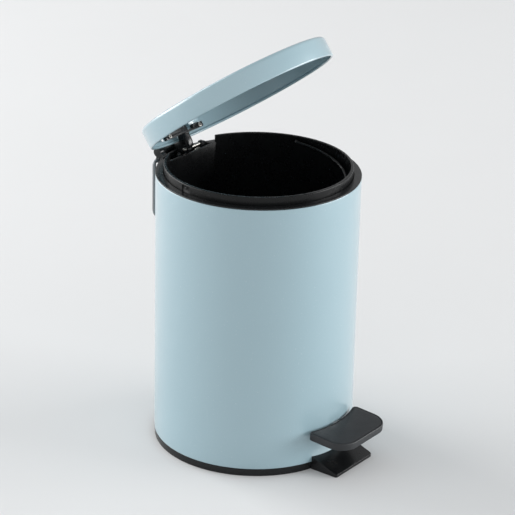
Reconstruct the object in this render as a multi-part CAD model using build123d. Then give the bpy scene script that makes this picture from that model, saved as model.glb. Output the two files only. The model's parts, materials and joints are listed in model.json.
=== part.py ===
from build123d import *
import math
import os

# Small cylindrical pedal bin: steel body, steel lid held part way open by the pedal, lift-out liner.
# Millimetres, +Z up, origin at the centre of the base's underside.
# The pedal points to -Y, the lid hinge is at +Y, and X runs along the hinge pin.

# ---- driving dimensions ----
BODY_R = 84.0
SHEET = 0.7
BODY_BOTTOM = 6.6
BODY_TOP = 234.2
HEM_R_IN = 82.4
HEM_DEPTH = 2.4
NOTCH_HALF = 26.0
NOTCH_BOTTOM = 219.5
SLOT_HALF = 6.9
SLOT_LOW, SLOT_HIGH = 20.6, 33.4
HEM_ROUND = 0.6
HEM_EDGE = 0.3
SCREW_HOLE_R = 1.6
SCREW_R = 1.5

BASE_R = 83.7
FLOOR_T = 3.2
SPIGOT_R = 82.0
SPIGOT_T = 2.4
SPIGOT_TOP = 14.0
TAB_HALF = 25.5
TAB_FRONT = -105.7
TAB_BACK = -80.0
TAB_NOSE = 2.5
TAB_HEEL = 11.6
TAB_CORNER = 2.0
GROOVE_OUT, GROOVE_IN, GROOVE_DEPTH = 76.0, 71.0, 1.0
BACK_GAP_HALF = 24.0
STIFFENER_T, STIFFENER_H = 1.6, 1.2
STIFFENER_FROM_R = 30.0

HINGE_Y, HINGE_Z = 90.9, 235.35
HINGE_PIN_R = 1.5
RUNNING = 0.06
LID_ANGLE = 36.5
LID_R = 83.0
LID_RIM = 236.0
LID_EDGE = 17.6
LID_CROWN = 2.0
LID_CORNER = 2.8
CURL_W = 2.1

RIB_LOW, RIB_HIGH = -0.9, 4.1
RIB_TOP = 246.0
EAR_IN, EAR_OUT = 11.3, 24.0
EAR_FRONT = 70.0
EAR_T = 3.0
EAR_BOTTOM, EAR_TOP = 239.4, 243.4
LINK_TOP = 241.0
STUD_X, STUD_Z = 19.5, 241.4
STRAP_PLATE_Z = 252.0
STRAP_SHEET = 1.2

WIRE_R = 1.3
PIN_Y, PIN_Z = 75.6, 237.0
ROD_X = 12.5
ROD_RETURN_X = 18.0
RETURN_R = 2.0
CRANK_END_X = -3.6
CAP_LOW, CAP_HIGH = 17.2, 22.8
CAP_HALF_Y, CAP_HALF_Z = 1.9, 3.9
HOOK_Z = 22.0
HOOK_END_X = -9.0

PIVOT_Y, PIVOT_Z = -30.0, 20.75
PIVOT_R = 2.0
POST_IN, POST_OUT = 8.0, 13.0
POST_HALF = 6.0
GUSSET_REACH, GUSSET_T, GUSSET_DROP = 9.0, 2.4, 8.0
PIVOT_PIN_SPARE = 4.0
PIVOT_CLIP_R, PIVOT_CLIP_T = 4.5, 1.0
STRAP_W, STRAP_T = 12.0, 2.5
STRAP_BACK_Z = 16.0
EAR_SLOT_R = 2.15
EAR_SLOT_FRONT, EAR_SLOT_BACK = 0.3, 3.7
EAR_END_R = 3.3
STRAP_BEND = 3.0

PAD_HALF = 33.0
PAD_FRONT = -118.2
PAD_REAR_R = 86.6
PAD_CORNER = 16.5
PAD_REAR_CORNER = 3.5
PAD_HEIGHT = 6.0
PAD_SKIN = 3.0
PAD_SKIRT = 2.4
PAD_TOP_Z = 36.2
PAD_TILT = 3.5
PAD_SCREWS = (-101.0, -109.0)
PAD_EDGE_ROUND = 1.2
PAD_RIB_X, PAD_RIB_T = 20.0, 1.6
PAD_RIB_FRONT, PAD_RIB_BACK = -112.0, -90.0
PAD_BOSS_HALF, PAD_BOSS_SPARE = 6.0, 4.0
STRAP_WAY_HALF = 6.4
STRAP_TOP = -4.32

COLLAR_R = 84.1
FLANGE_Z = 235.4
FLANGE_BORE = 77.6
LEDGE_Z = 233.4
LEDGE_BORE = 76.3
LEDGE_BOTTOM = 231.5
COLLAR_SKIRT_Z = 222.0
COLLAR_SKIRT_T = 2.6
COLLAR_GAP = 1.3

LINER_BOTTOM, LINER_BOTTOM_R = 38.0, 69.5
LINER_SHOULDER_R, LINER_NECK_R = 76.0, 77.3
LINER_MOUTH_R = 75.0
LINER_FLOOR_T = 1.8
LINER_WALL = 1.6
LINER_TOP = 242.3
LINER_FLAT = 70.0
LINER_FLAT_TOP = 236.3
POCKET_R = 76.5
POCKET_HALF = 4.5
POCKET_TOP = 241.2
BAIL_Y, BAIL_Z = 15.0, 238.6
BAIL_WIRE_R = 1.1
BAIL_R = 71.2
BAIL_DROP = 6.0
BAIL_END_X = 75.6
BAIL_BEND = 2.2

CHEEK_IN, CHEEK_OUT = 14.6, 19.6
CHEEK_FRONT = 80.3
KNUCKLE_IN = 10.8
KNUCKLE_R = 3.8
SLEEVE_R = 2.8
PIN_CAP = 1.2
COVER_T = 1.6
COVER_HALF = 28.0
COVER_BOTTOM, COVER_TOP = 212.0, 234.9
CRANK_SLOT_Z = 226.6
SIDE_GAP = 0.5
HANDLE_X, HANDLE_Y, HANDLE_Z = 25.5, 89.1, 229.5
LUG_R = 3.2
HANDLE_R = 1.5
HANDLE_DROP = 50.5
HANDLE_CORNER = 9.0
FOOT_SCREW_ANGLE = 14.0
FOOT_SCREW_Z = 209.0

HINGE_AXIS = Axis((0, HINGE_Y, HINGE_Z), (1, 0, 0))


# ---- helpers ----
def box(x, y, z):
    """A box from its three (low, high) spans."""
    size = [high - low for low, high in (x, y, z)]
    middle = [(low + high) / 2 for low, high in (x, y, z)]
    return Pos(*middle) * Box(*size)


def both_sides(shape):
    """A shape and its mirror image across the YZ plane."""
    return shape + mirror(shape, Plane.YZ)


def turned(points):
    """The solid of revolution of an (r, z) outline about Z."""
    outline = Polyline(*[(r, 0, z) for r, z in points], close=True)
    return revolve(make_face(outline), Axis.Z)


def plate_yz(points, x_low, x_high):
    """A plate with a (y, z) outline, between two x planes."""
    outline = Polyline(*[(x_low, y, z) for y, z in points], close=True)
    return extrude(make_face(outline), amount=x_high - x_low, dir=(1, 0, 0))


def rod_x(radius, x_low, x_high, y, z):
    """A round bar along X."""
    return Pos((x_low + x_high) / 2, y, z) * Rot(0, 90, 0) * Cylinder(radius, x_high - x_low)


def rod_y(radius, y_low, y_high, x, z):
    """A round bar along Y."""
    return Pos(x, (y_low + y_high) / 2, z) * Rot(90, 0, 0) * Cylinder(radius, y_high - y_low)


def tube(r_out, r_in, z_low, z_high):
    middle = Pos(0, 0, (z_low + z_high) / 2)
    return middle * Cylinder(r_out, z_high - z_low) - middle * Cylinder(r_in, z_high - z_low)


def wire_along(points, radii, wire_radius):
    """Round wire bent along a path, with one bend radius for each inner corner."""
    path = FilletPolyline(*points, radius=radii)
    start = Plane(origin=path @ 0, z_dir=path % 0)
    return sweep(start * Circle(wire_radius), path=path)


def pan_screw(head_r, head_t, shank_r, length):
    """A pan-head screw along +Z: head below z = 0 with a cross recess, shank above."""
    head = Pos(0, 0, -head_t / 2) * Cylinder(head_r, head_t)
    head = fillet(head.edges().sort_by(Axis.Z)[0], head_t * 0.45)
    recess_depth = head_t * 0.6
    for angle in (0, 90):
        recess = Box(head_r * 1.1, head_r * 0.28, recess_depth)
        head -= Pos(0, 0, -head_t + recess_depth / 2) * Rot(0, 0, angle) * recess
    return head + Pos(0, 0, length / 2) * Cylinder(shank_r, length)


def opened(shape):
    """Swing a piece drawn on the closed lid to the lid's rest angle."""
    return shape.rotate(HINGE_AXIS, -LID_ANGLE)


# ---- body and base ----
def outer_body():
    top, bottom = BODY_TOP, BODY_BOTTOM
    shell = turned([
        (BODY_R, bottom), (BODY_R, top - HEM_ROUND), (BODY_R - HEM_ROUND, top), (HEM_R_IN + HEM_EDGE, top),
        (HEM_R_IN, top - HEM_EDGE), (HEM_R_IN, top - HEM_DEPTH), (BODY_R - SHEET, top - HEM_DEPTH - HEM_EDGE),
        (BODY_R - SHEET, bottom + HEM_DEPTH), (HEM_R_IN, bottom + HEM_DEPTH - HEM_EDGE), (HEM_R_IN, bottom)])
    shell -= box((-NOTCH_HALF, NOTCH_HALF), (60, 95), (NOTCH_BOTTOM, top + 5))
    shell -= box((-SLOT_HALF, SLOT_HALF), (-95, -60), (SLOT_LOW, SLOT_HIGH))
    for angle in (-FOOT_SCREW_ANGLE, FOOT_SCREW_ANGLE):
        hole = rod_y(SCREW_HOLE_R, BODY_R - 6, BODY_R + 6, 0, FOOT_SCREW_Z)
        shell -= hole.rotate(Axis.Z, angle)
    return shell


def foot_tab():
    """The wedge in front of the base that stops the bin tipping when the pedal is pressed."""
    wedge = plate_yz([
        (TAB_BACK + 6, 0), (TAB_FRONT, 0), (TAB_FRONT, TAB_NOSE), (TAB_BACK, TAB_HEEL),
        (TAB_BACK + 6, TAB_HEEL)], -TAB_HALF, TAB_HALF)
    front_corners = wedge.edges().filter_by(Axis.Z).group_by(Axis.Y)[0]
    wedge = fillet(front_corners, TAB_CORNER)
    above_edge = Pos(0, 0, BODY_BOTTOM + 20) * Cylinder(BODY_R, 40)
    return wedge - above_edge


def pivot_post():
    """One upright of the pedal pivot, with a pin hole and a side rib."""
    rooted = FLOOR_T - 0.5
    post = box((POST_IN, POST_OUT), (PIVOT_Y - POST_HALF, PIVOT_Y + POST_HALF), (rooted, PIVOT_Z))
    post += rod_x(POST_HALF, POST_IN, POST_OUT, PIVOT_Y, PIVOT_Z)
    rib_y = PIVOT_Y - GUSSET_T / 2
    rib = Polyline((POST_OUT, rib_y, rooted), (POST_OUT + GUSSET_REACH, rib_y, rooted),
                   (POST_OUT, rib_y, PIVOT_Z - GUSSET_DROP), close=True)
    post += extrude(make_face(rib), amount=GUSSET_T, dir=(0, 1, 0))
    return post - rod_x(PIVOT_R, POST_IN - 1, POST_OUT + 1, PIVOT_Y, PIVOT_Z)


def base():
    edge = 0.5
    foot = turned([
        (0, 0), (BASE_R - edge, 0), (BASE_R, edge), (BASE_R, BODY_BOTTOM), (SPIGOT_R, BODY_BOTTOM),
        (SPIGOT_R, SPIGOT_TOP), (SPIGOT_R - SPIGOT_T, SPIGOT_TOP), (SPIGOT_R - SPIGOT_T, FLOOR_T),
        (0, FLOOR_T)])
    foot -= tube(GROOVE_OUT, GROOVE_IN, -1, GROOVE_DEPTH)
    back_gap = box((-BACK_GAP_HALF, BACK_GAP_HALF), (60, 95), (FLOOR_T, SPIGOT_TOP + 1))
    foot -= back_gap & (Pos(0, 0, 10) * Cylinder(SPIGOT_R + 0.2, 40))
    foot += foot_tab()
    for angle in range(0, 180, 45):
        stiffener = Box(2 * (SPIGOT_R - SPIGOT_T) - 2, STIFFENER_T, STIFFENER_H)
        stiffener = Pos(0, 0, FLOOR_T + 0.5) * Rot(0, 0, angle + 22.5) * stiffener
        foot += stiffener - Pos(0, 0, FLOOR_T) * Cylinder(STIFFENER_FROM_R, 8)
    return foot + both_sides(pivot_post())


# ---- pedal group ----
def strap_profile():
    """The strap's centre line in the YZ plane, from the pedal pad to the back."""
    return [(-113.0, 29.0), (-95.0, 30.1), (-87.5, 26.7), (-64.0, 27.6), (-50.0, STRAP_BACK_Z),
            (66.0, STRAP_BACK_Z)]


def hook_slot():
    """The slot in the strap's back ear that the lift rod's hook works in."""
    front, back = PIN_Y - EAR_SLOT_FRONT, PIN_Y + EAR_SLOT_BACK
    slot = box((-8, 8), (front, back), (HOOK_Z - EAR_SLOT_R, HOOK_Z + EAR_SLOT_R))
    for y in (front, back):
        slot += rod_x(EAR_SLOT_R, -8, 8, y, HOOK_Z)
    return slot


def pedal_lever():
    points = [(0, y, z) for y, z in strap_profile()]
    path = FilletPolyline(*points, radius=STRAP_BEND)
    start = Plane(origin=path @ 0, x_dir=(1, 0, 0), z_dir=path % 0)
    strap = sweep(start * Rectangle(STRAP_W, STRAP_T), path=path)
    inner, outer = -STRAP_W / 2, -STRAP_W / 2 + STRAP_T
    bottom = STRAP_BACK_Z - STRAP_T / 2
    ear_end = PIN_Y + EAR_SLOT_BACK
    low, high = HOOK_Z - EAR_END_R, HOOK_Z + EAR_END_R
    ear = plate_yz([(58, bottom), (ear_end, low), (ear_end, high), (70, high), (60, STRAP_BACK_Z)],
                   inner, outer)
    ear += rod_x(EAR_END_R, inner, outer, ear_end, HOOK_Z)
    strap += ear - hook_slot()
    for y in PAD_SCREWS:
        strap -= tilt_pad(Pos(0, y, -6) * Cylinder(SCREW_HOLE_R, 10))
    return strap


def pivot_bush():
    """Plastic-lined steel sleeve welded on the strap, turning on the pivot pin."""
    half = POST_IN - 0.5
    wall = PIVOT_Z - STRAP_BACK_Z - STRAP_T / 2
    sleeve = rod_x(wall, -half, half, PIVOT_Y, PIVOT_Z)
    return sleeve - rod_x(PIVOT_R + RUNNING, -half - 1, half + 1, PIVOT_Y, PIVOT_Z)


def pivot_pin():
    end = POST_OUT + PIVOT_PIN_SPARE
    pin = rod_x(PIVOT_R, -end, end, PIVOT_Y, PIVOT_Z)
    return chamfer(pin.edges().filter_by(GeomType.CIRCLE), 0.4)


def pivot_clips():
    """Push-on retaining washers at both ends of the pivot pin."""
    washer = rod_x(PIVOT_CLIP_R, POST_OUT, POST_OUT + PIVOT_CLIP_T, PIVOT_Y, PIVOT_Z)
    washer -= rod_x(PIVOT_R, POST_OUT - 1, POST_OUT + 2, PIVOT_Y, PIVOT_Z)
    return Compound(children=[washer, mirror(washer, Plane.YZ)])


def pad_outline(inset):
    """The pedal pad's plan outline: small rear corners, round front corners, hollow rear edge."""
    half = PAD_HALF - inset
    front = PAD_FRONT + inset
    rear_r = PAD_REAR_R + inset
    plan = Pos(0, (front - 60) / 2) * Rectangle(2 * half, -60 - front)
    plan = fillet(plan.vertices().group_by(Axis.Y)[0], PAD_CORNER - inset)
    plan -= Circle(rear_r)
    return fillet(plan.vertices().group_by(Axis.Y)[-1], PAD_REAR_CORNER - inset)


def tilt_pad(shape):
    """Lay a pad drawn with its top at z = 0 onto the tilted pedal plane."""
    return Pos(0, 0, PAD_TOP_Z) * shape.rotate(Axis((0, -PAD_REAR_R, 0), (1, 0, 0)), PAD_TILT)


def pedal_pad():
    pad = Pos(0, 0, -PAD_HEIGHT) * extrude(pad_outline(0), amount=PAD_HEIGHT)
    pad = fillet(pad.edges().group_by(Axis.Z)[-1], PAD_EDGE_ROUND)
    hollow = Pos(0, 0, -PAD_HEIGHT) * extrude(pad_outline(PAD_SKIRT), amount=PAD_HEIGHT - PAD_SKIN)
    pad -= hollow
    rooted = -PAD_SKIN + 0.2
    pad += box((-PAD_BOSS_HALF, PAD_BOSS_HALF),
               (PAD_SCREWS[1] - PAD_BOSS_SPARE, PAD_SCREWS[0] + PAD_BOSS_SPARE), (STRAP_TOP, rooted))
    for x in (-PAD_RIB_X, PAD_RIB_X):
        pad += box((x - PAD_RIB_T / 2, x + PAD_RIB_T / 2), (PAD_RIB_FRONT, PAD_RIB_BACK),
                   (-PAD_HEIGHT + 1, rooted))
    for y in PAD_SCREWS:
        pad -= Pos(0, y, -PAD_HEIGHT / 2 - 1.2) * Cylinder(SCREW_R, PAD_HEIGHT)
    pad -= box((-STRAP_WAY_HALF, STRAP_WAY_HALF), (-PAD_REAR_R - 6, -80), (-PAD_HEIGHT - 1, -PAD_SKIN))
    return tilt_pad(pad)


def pedal_screws():
    strap_bottom = STRAP_TOP - STRAP_T - 0.08
    screws = []
    for y in PAD_SCREWS:
        screws.append(tilt_pad(Pos(0, y, strap_bottom) * pan_screw(2.8, 1.6, SCREW_R, 4.8)))
    return Compound(children=screws)


# ---- lift rod group ----
def lift_rod():
    """Bent wire: bottom hook, upright, and a return bend whose end is the crank pin."""
    turn_low = PIN_Z - 2 * RETURN_R
    points = [(HOOK_END_X, HOOK_Z), (ROD_X, HOOK_Z), (ROD_X, turn_low), (ROD_RETURN_X + RETURN_R, turn_low),
              (ROD_RETURN_X + RETURN_R, PIN_Z), (CRANK_END_X, PIN_Z)]
    path = [(x, PIN_Y, z) for x, z in points]
    return wire_along(path, [3.0, 2.4, RETURN_R - 0.01, RETURN_R - 0.01], WIRE_R)


def rod_top_clip():
    """Black plastic cap pressed over the rod's return bend."""
    middle_z = PIN_Z - RETURN_R
    cap = box((CAP_LOW, CAP_HIGH), (PIN_Y - CAP_HALF_Y, PIN_Y + CAP_HALF_Y),
              (middle_z - CAP_HALF_Z, middle_z + CAP_HALF_Z))
    cap = fillet(cap.edges().filter_by(Axis.Y), 1.6)
    return cap - lift_rod()


def rod_bottom_clip():
    """Push-on washer that keeps the hook in the lever."""
    washer = rod_x(3.4, -8.2, -7.2, PIN_Y, HOOK_Z)
    return washer - rod_x(WIRE_R, -9, -6, PIN_Y, HOOK_Z)


# ---- collar, hinge housing, handle ----
def collar():
    """Moulded ring: skirt inside the body, flat flange on its edge, ledge that carries the liner."""
    skirt_in = SPIGOT_R - COLLAR_SKIRT_T
    ring = turned([
        (skirt_in, COLLAR_SKIRT_Z), (SPIGOT_R, COLLAR_SKIRT_Z), (SPIGOT_R, BODY_TOP), (COLLAR_R, BODY_TOP),
        (COLLAR_R, FLANGE_Z - 0.5), (COLLAR_R - 0.5, FLANGE_Z), (FLANGE_BORE, FLANGE_Z),
        (FLANGE_BORE, LEDGE_Z), (LEDGE_BORE, LEDGE_Z), (LEDGE_BORE, LEDGE_BOTTOM), (skirt_in, LEDGE_BOTTOM)])
    gap = NOTCH_HALF + COLLAR_GAP
    return ring - box((-gap, gap), (40, 95), (210, 250))


def hinge_cheek():
    """The right-hand half of the housing: foot inside the body, web, knuckle and handle lug."""
    foot = tube(BODY_R - SHEET, BODY_R - SHEET - 3.0, 202, NOTCH_BOTTOM - 1.5)
    foot &= box((CHEEK_IN, 24.5), (60, 95), (200, 225))
    web = plate_yz([(CHEEK_FRONT, 204), (82.6, 204), (82.6, NOTCH_BOTTOM + 0.3), (86.0, 224.6), (87.4, 226.3),
                    (90.6, 229.5), (94.7, HINGE_Z), (90.9, 239.1), (87.1, HINGE_Z), (CHEEK_FRONT, 233.0)],
                   CHEEK_IN, CHEEK_OUT)
    web -= tube(BODY_R + 0.05, BODY_R - SHEET, 200, NOTCH_BOTTOM)
    web = web & (Pos(0, 0, 220) * Cylinder(BODY_R - SHEET, 60) + box((0, 30), (60, 100), (NOTCH_BOTTOM, 245)))
    cheek = foot + web
    cheek += rod_x(KNUCKLE_R, KNUCKLE_IN, CHEEK_OUT, HINGE_Y, HINGE_Z)
    cheek += rod_x(LUG_R, CHEEK_IN, CHEEK_OUT, HANDLE_Y, HANDLE_Z)
    return cheek - rod_x(HANDLE_R + RUNNING, CHEEK_IN - 1, CHEEK_OUT + 1, HANDLE_Y, HANDLE_Z)


def rear_shield():
    """Thin sloping plate between the cheeks that closes the housing behind the crank rib."""
    half = CHEEK_IN + 0.1
    return plate_yz([(84.2, 225.0), (84.2, 223.4), (86.1, 223.8), (88.9, 226.1), (92.4, 229.2), (94.9, 232.0),
                     (94.0, 232.4), (91.6, 229.9), (88.2, 226.9), (86.0, 225.2)], -half, half)


def hinge_housing():
    """Curved cover over the body's notch, two cheeks, and the sleeves on both sides of the crank rib."""
    cover = tube(BODY_R + COVER_T, BODY_R + 0.05, COVER_BOTTOM, COVER_TOP)
    cover &= box((-COVER_HALF, COVER_HALF), (60, 95), (200, 240))
    cover -= box((RIB_LOW - SIDE_GAP, RIB_HIGH + SIDE_GAP), (60, 100), (CRANK_SLOT_Z, 240))
    house = cover + rear_shield() + both_sides(hinge_cheek())
    house += rod_x(SLEEVE_R, -KNUCKLE_IN - 1, RIB_LOW - SIDE_GAP, HINGE_Y, HINGE_Z)
    house += rod_x(SLEEVE_R, RIB_HIGH + SIDE_GAP, KNUCKLE_IN + 1, HINGE_Y, HINGE_Z)
    house -= rod_x(HINGE_PIN_R, -CHEEK_OUT + PIN_CAP, CHEEK_OUT + 1, HINGE_Y, HINGE_Z)
    for angle in (-FOOT_SCREW_ANGLE, FOOT_SCREW_ANGLE):
        pilot = rod_y(SCREW_R, BODY_R - 6, BODY_R, 0, FOOT_SCREW_Z)
        house -= pilot.rotate(Axis.Z, angle)
    return house


def housing_screws():
    screws = []
    for angle in (-FOOT_SCREW_ANGLE, FOOT_SCREW_ANGLE):
        screw = Pos(0, BODY_R, FOOT_SCREW_Z) * Rot(90, 0, 0) * pan_screw(2.9, 1.5, SCREW_R, 4.6)
        screws.append(screw.rotate(Axis.Z, angle))
    return Compound(children=screws)


def hinge_pin():
    """Steel pin pushed in from the right, stopped by the closed end of the left bore."""
    pin = rod_x(HINGE_PIN_R, -CHEEK_OUT + PIN_CAP, CHEEK_OUT + 1.6, HINGE_Y, HINGE_Z)
    return chamfer(pin.edges().filter_by(GeomType.CIRCLE), 0.2)


def hinge_pin_clip():
    clip = rod_x(3.0, CHEEK_OUT, CHEEK_OUT + 0.8, HINGE_Y, HINGE_Z)
    return clip - rod_x(HINGE_PIN_R, CHEEK_OUT - 1, CHEEK_OUT + 2, HINGE_Y, HINGE_Z)


def carry_handle():
    inner = CHEEK_IN + 0.6
    low = HANDLE_Z - HANDLE_DROP
    points = [(inner, HANDLE_Z), (HANDLE_X, HANDLE_Z), (HANDLE_X, low), (-HANDLE_X, low),
              (-HANDLE_X, HANDLE_Z), (-inner, HANDLE_Z)]
    path = [(x, HANDLE_Y, z) for x, z in points]
    return wire_along(path, [2.4, HANDLE_CORNER, HANDLE_CORNER, 2.4], HANDLE_R)


# ---- lid group, drawn closed ----
def lid_form(radius, top, corner, foot):
    """The solid under a crowned lid surface, closed below by (r, z) foot points, wall side first."""
    corner_mid = corner * math.sqrt(0.5)
    round_corner = ThreePointArc((radius, 0, top - corner),
                                 (radius - corner + corner_mid, 0, top - corner + corner_mid),
                                 (radius - corner, 0, top))
    reach = radius - corner
    crown_r = (reach ** 2 + LID_CROWN ** 2) / (2 * LID_CROWN)
    half_way = crown_r - math.sqrt(crown_r ** 2 - (reach / 2) ** 2)
    crown = ThreePointArc((reach, 0, top), (reach / 2, 0, top + LID_CROWN - half_way), (0, 0, top + LID_CROWN))
    below = [(radius, top - corner), *foot, (0, foot[-1][1]), (0, top + LID_CROWN)]
    rest = Polyline(*[(r, 0, z) for r, z in below])
    return revolve(make_face([round_corner, crown, rest]), Axis.Z)


def lid_inside():
    """The space under the closed lid, bounded by its inner surfaces and its curled edge."""
    inner = LID_R - SHEET
    curl = LID_R - CURL_W
    foot = [(inner, LID_RIM + CURL_W), (curl + 0.5, LID_RIM + CURL_W), (curl, LID_RIM + CURL_W - 0.5),
            (curl, LID_RIM + 0.5), (curl + 0.5, LID_RIM), (curl + 0.5, LID_RIM - 1)]
    return lid_form(inner, LID_RIM + LID_EDGE - SHEET, LID_CORNER - SHEET, foot)


def lid_shell():
    foot = [(LID_R, LID_RIM + 0.6), (LID_R - 0.6, LID_RIM)]
    shell = lid_form(LID_R, LID_RIM + LID_EDGE, LID_CORNER, foot) - lid_inside()
    shell -= rod_y(1.75, 60, 95, -18.4, LID_RIM + 6.4)
    return opened(shell)


def lid_strap():
    """Pressed steel tab, spot-welded under the lid, with two down-turned ears."""
    back = EAR_FRONT + EAR_T
    strap = box((-25, 25), (56, 76), (STRAP_PLATE_Z, 258)) & lid_inside()
    ear = box((EAR_IN, EAR_OUT), (back, back + STRAP_SHEET), (EAR_BOTTOM, STRAP_PLATE_Z + 0.4))
    ear = fillet(ear.edges().filter_by(Axis.Y).group_by(Axis.Z)[0], 1.5)
    strap += both_sides(ear)
    for x in (-STUD_X, STUD_X):
        strap -= rod_y(1.3, 60, 80, x, STUD_Z)
    return opened(strap)


def crank_pin_closed():
    """Where the crank pin's centre lies in (y, z) when the lid is drawn closed."""
    theta = math.radians(LID_ANGLE)
    dy, dz = PIN_Y - HINGE_Y, PIN_Z - HINGE_Z
    return (HINGE_Y + dy * math.cos(theta) - dz * math.sin(theta),
            HINGE_Z + dy * math.sin(theta) + dz * math.cos(theta))


def crank_rib():
    """The bracket's rib: from the front bar back to the hinge and down to the crank pin."""
    pin_y, pin_z = crank_pin_closed()
    under_rim = LID_RIM - 0.35
    rib = plate_yz([(EAR_FRONT, RIB_TOP), (EAR_FRONT, 238.5), (70.6, 237.6), (70.6, 234.0), (71.0, 231.0),
                    (72.0, 228.5), (pin_y - 3.0, pin_z - 1.0), (pin_y + 1.6, pin_z - 2.9),
                    (HINGE_Y + 1.5, HINGE_Z - 3.2), (HINGE_Y, HINGE_Z + 3.5), (85.0, under_rim),
                    (80.4, under_rim), (79.4, 239.0), (79.0, RIB_TOP - 1.4)], RIB_LOW, RIB_HIGH)
    rib = fillet(rib.edges().filter_by(Axis.X).sort_by(Axis.Z)[-1], 1.5)
    rib += rod_x(3.2, RIB_LOW, RIB_HIGH, pin_y, pin_z)
    rib += rod_x(3.6, RIB_LOW, RIB_HIGH, HINGE_Y, HINGE_Z)
    rib -= rod_x(WIRE_R + RUNNING, RIB_LOW - 1, RIB_HIGH + 1, pin_y, pin_z)
    return rib - rod_x(HINGE_PIN_R + RUNNING, RIB_LOW - 1, RIB_HIGH + 1, HINGE_Y, HINGE_Z)


def plate_xz(points):
    """A plate with an (x, z) outline as thick as the bracket's front bar."""
    outline = Polyline(*[(x, EAR_FRONT, z) for x, z in points], close=True)
    return extrude(make_face(outline), amount=EAR_T, dir=(0, 1, 0))


def lid_bracket():
    """Moulded bracket: left arm, crank rib, and a thin link to the right ear."""
    arm = plate_xz([(-EAR_OUT, EAR_BOTTOM), (-EAR_OUT, EAR_TOP), (RIB_LOW + 0.5, RIB_TOP - 0.6),
                    (RIB_LOW + 0.5, EAR_BOTTOM)])
    ear = plate_xz([(EAR_IN, EAR_BOTTOM), (EAR_IN, EAR_TOP + 0.4), (EAR_OUT, EAR_TOP + 0.4),
                    (EAR_OUT, EAR_BOTTOM)])
    link = plate_xz([(RIB_HIGH - 0.5, EAR_BOTTOM), (RIB_HIGH - 0.5, LINK_TOP), (EAR_IN + 0.5, LINK_TOP),
                     (EAR_IN + 0.5, EAR_BOTTOM)])
    bracket = arm + crank_rib() + link + ear
    for x in (-STUD_X, STUD_X):
        bracket -= rod_y(1.3, 60, 80, x, STUD_Z)
    return opened(bracket)


def bracket_screws():
    screws = []
    for x in (-STUD_X, STUD_X):
        screw = Pos(x, EAR_FRONT, STUD_Z) * Rot(-90, 0, 0) * pan_screw(1.8, 1.0, 1.3, 6.0)
        screws.append(opened(screw))
    return Compound(children=screws)


# ---- liner ----
def liner():
    """Lift-out bucket: tapered wall, shoulder on the collar's ledge, upright neck, flat back."""
    floor_in = LINER_BOTTOM_R - LINER_WALL
    flat_in = LINER_FLAT - LINER_WALL
    outside = turned([
        (0, LINER_BOTTOM), (LINER_BOTTOM_R - 2, LINER_BOTTOM), (LINER_BOTTOM_R, LINER_BOTTOM + 2),
        (LINER_SHOULDER_R, LEDGE_Z), (LINER_NECK_R, LEDGE_Z), (LINER_NECK_R, LINER_TOP - 0.5),
        (LINER_NECK_R - 0.5, LINER_TOP), (0, LINER_TOP)])
    inside = turned([
        (0, LINER_BOTTOM + LINER_FLOOR_T), (floor_in - 2, LINER_BOTTOM + LINER_FLOOR_T),
        (floor_in, LINER_BOTTOM + LINER_FLOOR_T + 2), (LINER_MOUTH_R, LINER_TOP),
        (LINER_MOUTH_R, LINER_TOP + 5), (0, LINER_TOP + 5)])
    outside -= box((-90, 90), (LINER_FLAT, 95), (0, 260))
    inside -= box((-90, 90), (flat_in, 95), (0, 260))
    bucket = outside - inside
    rim_end = math.sqrt(LINER_MOUTH_R ** 2 - flat_in ** 2)
    bucket -= box((-rim_end, rim_end), (flat_in - 0.5, 95), (LINER_FLAT_TOP, 260))
    bore = BAIL_WIRE_R + RUNNING
    pocket = box((0, 90), (BAIL_Y - POCKET_HALF, BAIL_Y + POCKET_HALF), (FLANGE_Z, POCKET_TOP))
    pocket = fillet(pocket.edges().filter_by(Axis.X).group_by(Axis.Z)[-1], 1.5)
    pocket -= Pos(0, 0, POCKET_TOP) * Cylinder(POCKET_R, 20)
    cuts = both_sides(pocket + rod_x(bore, 70.5, BAIL_END_X + 1, BAIL_Y, BAIL_Z))
    return bucket - cuts


def liner_bail():
    """The liner's wire handle, lying forward just below the rim."""
    corner_x = math.sqrt(BAIL_R ** 2 - BAIL_Y ** 2)
    left, right = (-corner_x, BAIL_Y), (corner_x, BAIL_Y)
    arc = ThreePointArc(left, (0, -BAIL_R), right)
    hoop = Wire([Line((-BAIL_END_X, BAIL_Y), left), arc, Line(right, (BAIL_END_X, BAIL_Y))])
    corners = [v for v in hoop.vertices() if abs(v.X) < BAIL_END_X - 1]
    hoop = hoop.fillet_2d(BAIL_BEND, corners)
    start = Plane(origin=hoop @ 0, z_dir=hoop % 0)
    bail = Pos(0, 0, BAIL_Z) * sweep(start * Circle(BAIL_WIRE_R), path=hoop)
    return bail.rotate(Axis((0, BAIL_Y, BAIL_Z), (1, 0, 0)), BAIL_DROP)


PIECES = [
    outer_body, base, collar, hinge_housing, housing_screws, hinge_pin, hinge_pin_clip, liner,
    pedal_lever, pivot_bush, pivot_pin, pivot_clips, pedal_pad, pedal_screws,
    lift_rod, rod_top_clip, rod_bottom_clip, lid_shell, lid_strap, lid_bracket, bracket_screws,
    carry_handle, liner_bail]

os.makedirs("parts", exist_ok=True)
for piece in PIECES:
    export_step(piece(), f"parts/{piece.__name__}.step")
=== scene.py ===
import json
import math

import bmesh
import bpy
from mathutils import Matrix, Vector


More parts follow.
